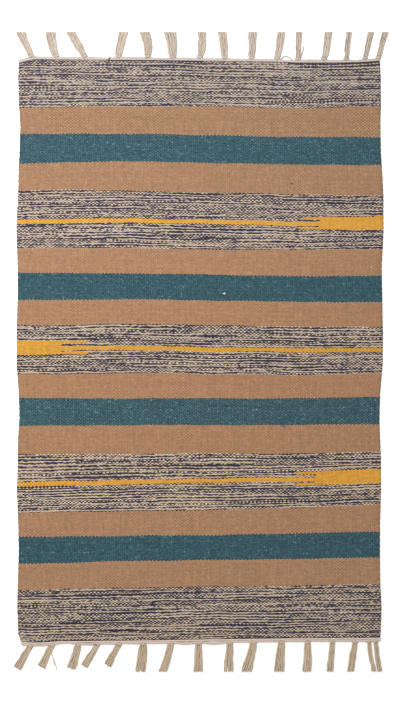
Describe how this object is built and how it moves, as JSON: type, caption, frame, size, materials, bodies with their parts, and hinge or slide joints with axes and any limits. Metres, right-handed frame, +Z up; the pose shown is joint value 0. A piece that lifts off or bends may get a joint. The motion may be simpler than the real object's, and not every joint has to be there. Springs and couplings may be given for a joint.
{
  "type": "kilim rug",
  "caption": "Flat-woven striped kilim rug lying flat, with a heading cord and knotted cotton tassels along both ends.",
  "frame": {"origin": "middle of the whole rug with its fringes, on the surface that it lies on", "axes": "+X across the rug from selvedge to selvedge, +Y along the rug towards its upper fringe, +Z up out of the pile-free face"},
  "size_m": [0.763, 1.3148, 0.0048],
  "materials": {
    "rug_weave": "weft-faced plain weave of matt cotton in tan, grey teal, gold and a navy and cream twist",
    "fringe_cotton": "loose undyed cotton yarn, matt"
  },
  "bodies": {
    "root": {"rug_cloth": "rug_weave", "fringe_top": "fringe_cotton", "fringe_bottom": "fringe_cotton"}
  },
  "joints": []
}
